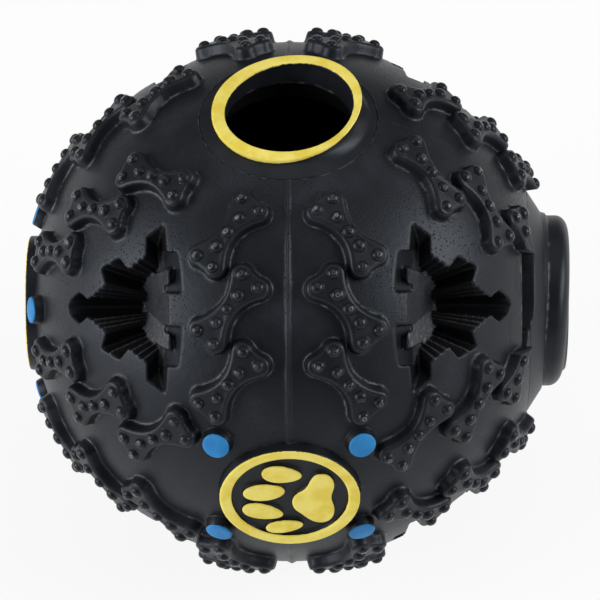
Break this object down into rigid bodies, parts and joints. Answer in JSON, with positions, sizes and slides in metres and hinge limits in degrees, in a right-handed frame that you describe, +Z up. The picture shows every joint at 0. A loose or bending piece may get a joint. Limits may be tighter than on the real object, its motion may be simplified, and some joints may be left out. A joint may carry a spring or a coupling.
{
  "type": "pet treat ball",
  "caption": "Hollow black rubber treat ball with moulded bone treads, star pockets, paw badges, an open treat mouth and a sliding reed sounder.",
  "frame": {"origin": "middle of the part's box, at the face of the base badge that the ball stands on", "axes": "+Z up through the treat mouth, -Y through the front badge, +X through the sound port"},
  "size_m": [0.1154, 0.1128, 0.1122],
  "materials": {
    "black_rubber": "satin moulded",
    "insert_rubber": "satin moulded",
    "yellow_paint": "matt paint",
    "blue_paint": "matt paint",
    "tube_plastic": "satin",
    "grille_plastic": "satin",
    "weight_metal": "turned",
    "soft_foam": "matt",
    "reed_plastic": "satin"
  },
  "bodies": {
    "root": {"shell_left": "black_rubber", "shell_right": "black_rubber", "badge_front": "insert_rubber", "badge_left": "insert_rubber", "badge_back": "insert_rubber", "badge_base": "insert_rubber", "mouth_collar": "insert_rubber", "port_collar": "insert_rubber", "sounder_tube": "tube_plastic", "sounder_grille": "grille_plastic", "sounder_end_cap": "tube_plastic", "outer_bumper": "soft_foam", "inner_bumper": "soft_foam"},
    "weight": {"reed_weight": "weight_metal", "reed_seal": "soft_foam", "reed_plate": "reed_plastic", "reed_tongue": "reed_plastic", "reed_retainer": "reed_plastic"}
  },
  "joints": [
    {"name": "weight_slide", "type": "slide", "parent": "root", "child": "weight", "axis": [1, 0, 0], "range_m": [0, 0.0242]}
  ]
}
